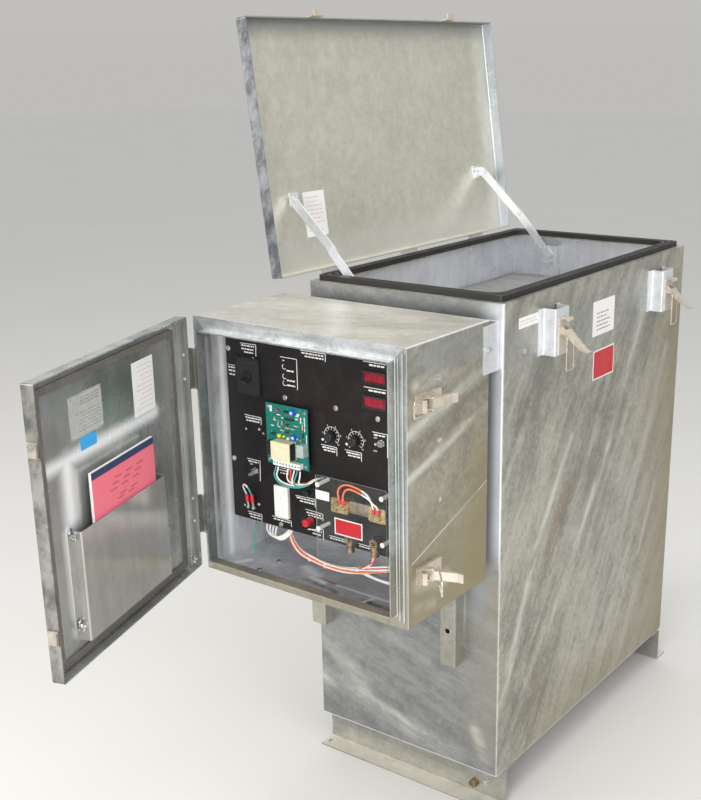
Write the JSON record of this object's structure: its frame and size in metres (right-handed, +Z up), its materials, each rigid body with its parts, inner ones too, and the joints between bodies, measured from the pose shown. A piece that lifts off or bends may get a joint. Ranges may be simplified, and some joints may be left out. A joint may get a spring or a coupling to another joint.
{
  "type": "electrical enclosure",
  "caption": "Galvanised liquid-filled rectifier enclosure with a hinged, gasketed tank lid on link stays, and a wiring cabinet with an open door and an instrument panel.",
  "frame": {"origin": "centre of the bounding box's bottom face, on the floor", "axes": "+Z up, +X to the right of someone facing the cabinet, +Y from the cabinet towards the back of the tank"},
  "size_m": [0.728, 1.7712, 1.7081],
  "materials": {
    "galvanised": "spangled zinc",
    "zinc_hardware": "satin",
    "yellow_zinc": "satin",
    "gasket_rubber": "matte",
    "core_steel": "matte",
    "coil_insulation": "matte",
    "fin_aluminium": "satin",
    "panel_black": "matte",
    "moulded_black": "satin",
    "red_plastic": "gloss",
    "board_green": "satin",
    "white_plastic": "satin",
    "clear_plastic": "clear",
    "brass": "satin",
    "wire_insulation": "satin",
    "paper": "matte"
  },
  "bodies": {
    "housing": {"tank_shell": "galvanised", "tank_gasket": "gasket_rubber", "feet": "galvanised", "deck_rack": "galvanised", "transformer_core": "core_steel", "transformer_coils": "coil_insulation", "rectifier_stack": "fin_aluminium", "lid_hinge_brackets": "galvanised", "stay_tank_brackets": "zinc_hardware", "latch_hats": "galvanised", "latch_bases": "yellow_zinc", "cabinet_box": "galvanised", "cabinet_mounts": "galvanised", "cable_nipple": "zinc_hardware", "door_hinge_frames": "galvanised", "hinge_pins": "zinc_hardware", "panel_angles": "zinc_hardware", "bolts_and_screws": "zinc_hardware", "panel_modules": "moulded_black", "control_bodies": "zinc_hardware", "circuit_board": "board_green", "shunt": "brass", "output_terminals": "brass", "clear_cover": "clear_plastic", "cover_posts": "white_plastic", "terminal_strips": "white_plastic", "instrument_panel": "panel_black", "main_loom": "wire_insulation", "board_loom": "wire_insulation"},
    "lid": {"lid": "galvanised", "lid_keepers": "yellow_zinc", "lid_hinge_leaves": "galvanised", "stay_lid_brackets": "zinc_hardware"},
    "door": {"door": "galvanised", "door_gasket": "gasket_rubber", "door_hinge_leaves": "galvanised", "door_keepers": "yellow_zinc", "document_pocket": "galvanised", "manual": "paper"},
    "stay_lower_front_body": {"stay_lower_front": "zinc_hardware"},
    "stay_upper_front_body": {"stay_upper_front": "zinc_hardware"},
    "stay_lower_rear_body": {"stay_lower_rear": "zinc_hardware"},
    "stay_upper_rear_body": {"stay_upper_rear": "zinc_hardware"},
    "lid_latch_handle_front_body": {"lid_latch_handle_front": "yellow_zinc"},
    "lid_latch_handle_rear_body": {"lid_latch_handle_rear": "yellow_zinc"},
    "lid_latch_bail_front_body": {"lid_latch_bail_front": "yellow_zinc"},
    "lid_latch_bail_rear_body": {"lid_latch_bail_rear": "yellow_zinc"},
    "door_latch_handle_upper_body": {"door_latch_handle_upper": "yellow_zinc"},
    "door_latch_handle_lower_body": {"door_latch_handle_lower": "yellow_zinc"},
    "door_latch_bail_upper_body": {"door_latch_bail_upper": "yellow_zinc"},
    "door_latch_bail_lower_body": {"door_latch_bail_lower": "yellow_zinc"},
    "breaker_handle_body": {"breaker_handle": "moulded_black"},
    "toggle_left_body": {"toggle_left": "zinc_hardware"},
    "toggle_right_body": {"toggle_right": "zinc_hardware"},
    "dial_coarse_body": {"dial_coarse": "moulded_black"},
    "dial_fine_body": {"dial_fine": "moulded_black"},
    "fuse_cap_red_body": {"fuse_cap_red": "red_plastic"},
    "fuse_cap_black_body": {"fuse_cap_black": "moulded_black"}
  },
  "joints": [
    {"name": "lid_hinge", "type": "hinge", "parent": "housing", "child": "lid", "pos_m": [-0.2658, 0.40056, 1.1363], "axis": [0, -1, 0], "range_deg": [-97.5, 0]},
    {"name": "stay_lower_front_pivot", "type": "hinge", "parent": "housing", "child": "stay_lower_front_body", "pos_m": [-0.0931, 0.00106, 1.1], "axis": [0, -1, 0], "range_deg": [-134.17, 0]},
    {"name": "stay_upper_front_pivot", "type": "hinge", "parent": "lid", "child": "stay_upper_front_body", "pos_m": [-0.29971, 0.00556, 1.30956], "axis": [0, -1, 0], "range_deg": [0, 120.48]},
    {"name": "stay_lower_rear_pivot", "type": "hinge", "parent": "housing", "child": "stay_lower_rear_body", "pos_m": [-0.0931, 0.80006, 1.1], "axis": [0, -1, 0], "range_deg": [-134.17, 0]},
    {"name": "stay_upper_rear_pivot", "type": "hinge", "parent": "lid", "child": "stay_upper_rear_body", "pos_m": [-0.29971, 0.79556, 1.30956], "axis": [0, -1, 0], "range_deg": [0, 120.48]},
    {"name": "door_hinge", "type": "hinge", "parent": "housing", "child": "door", "pos_m": [-0.2792, -0.36884, 0.85575], "axis": [0, 0, -1], "range_deg": [-71.7, 38.3]},
    {"name": "lid_latch_handle_front_pivot", "type": "hinge", "parent": "housing", "child": "lid_latch_handle_front_body", "pos_m": [0.3139, 0.13906, 1.065], "axis": [0, -1, 0], "range_deg": [-50, 0]},
    {"name": "lid_latch_bail_front_pivot", "type": "hinge", "parent": "lid_latch_handle_front_body", "child": "lid_latch_bail_front_body", "pos_m": [0.31899, 0.13906, 1.05551], "axis": [0, -1, 0], "range_deg": [0, 234.09]},
    {"name": "lid_latch_handle_rear_pivot", "type": "hinge", "parent": "housing", "child": "lid_latch_handle_rear_body", "pos_m": [0.3139, 0.67056, 1.065], "axis": [0, -1, 0], "range_deg": [-50, 0]},
    {"name": "lid_latch_bail_rear_pivot", "type": "hinge", "parent": "lid_latch_handle_rear_body", "child": "lid_latch_bail_rear_body", "pos_m": [0.31899, 0.67056, 1.05551], "axis": [0, -1, 0], "range_deg": [0, 234.09]},
    {"name": "door_latch_handle_upper_pivot", "type": "hinge", "parent": "housing", "child": "door_latch_handle_upper_body", "pos_m": [0.2733, -0.30044, 1.012], "axis": [0, 0, -1], "range_deg": [-12, 98]},
    {"name": "door_latch_bail_upper_pivot", "type": "hinge", "parent": "door_latch_handle_upper_body", "child": "door_latch_bail_upper_body", "pos_m": [0.27146, -0.28983, 1.012], "axis": [0, 0, -1], "range_deg": [-155.13, 19]},
    {"name": "door_latch_handle_lower_pivot", "type": "hinge", "parent": "housing", "child": "door_latch_handle_lower_body", "pos_m": [0.2733, -0.30044, 0.677], "axis": [0, 0, -1], "range_deg": [-75, 35]},
    {"name": "door_latch_bail_lower_pivot", "type": "hinge", "parent": "door_latch_handle_lower_body", "child": "door_latch_bail_lower_body", "pos_m": [0.28192, -0.29399, 0.677], "axis": [0, 0, -1], "range_deg": [-55.41, 118.72]},
    {"name": "breaker_pivot", "type": "hinge", "parent": "housing", "child": "breaker_handle_body", "pos_m": [-0.2001, -0.26744, 0.9875], "axis": [-1, 0, 0], "range_deg": [0, 50]},
    {"name": "toggle_left_pivot", "type": "hinge", "parent": "housing", "child": "toggle_left_body", "pos_m": [-0.1941, -0.27344, 0.783], "axis": [-1, 0, 0], "range_deg": [0, 24]},
    {"name": "toggle_right_pivot", "type": "hinge", "parent": "housing", "child": "toggle_right_body", "pos_m": [0.1359, -0.27344, 0.903], "axis": [1, 0, 0], "range_deg": [0, 24]},
    {"name": "dial_coarse_turn", "type": "hinge", "parent": "housing", "child": "dial_coarse_body", "pos_m": [0.0129, -0.27084, 0.896], "axis": [0, -1, 0], "range_deg": [-135, 135]},
    {"name": "dial_fine_turn", "type": "hinge", "parent": "housing", "child": "dial_fine_body", "pos_m": [0.0729, -0.27084, 0.897], "axis": [0, -1, 0], "range_deg": [-135, 135]},
    {"name": "fuse_cap_red_turn", "type": "hinge", "parent": "housing", "child": "fuse_cap_red_body", "pos_m": [-0.0461, -0.27134, 0.704], "axis": [0, -1, 0], "range_deg": [0, 90]},
    {"name": "fuse_cap_black_turn", "type": "hinge", "parent": "housing", "child": "fuse_cap_black_body", "pos_m": [-0.0481, -0.27134, 0.765], "axis": [0, -1, 0], "range_deg": [0, 90]}
  ],
  "couplings": [
    {"joint": "stay_lower_front_pivot", "follows": "lid_hinge", "ratio": 1.3761},
    {"joint": "stay_upper_front_pivot", "follows": "lid_hinge", "ratio": -1.2357},
    {"joint": "stay_lower_rear_pivot", "follows": "lid_hinge", "ratio": 1.3761},
    {"joint": "stay_upper_rear_pivot", "follows": "lid_hinge", "ratio": -1.2357},
    {"joint": "lid_latch_bail_front_pivot", "follows": "lid_latch_handle_front_pivot", "ratio": -4.6817},
    {"joint": "lid_latch_bail_rear_pivot", "follows": "lid_latch_handle_rear_pivot", "ratio": -4.6817},
    {"joint": "door_latch_bail_upper_pivot", "follows": "door_latch_handle_upper_pivot", "ratio": -1.583},
    {"joint": "door_latch_bail_lower_pivot", "follows": "door_latch_handle_lower_pivot", "ratio": -1.583}
  ]
}
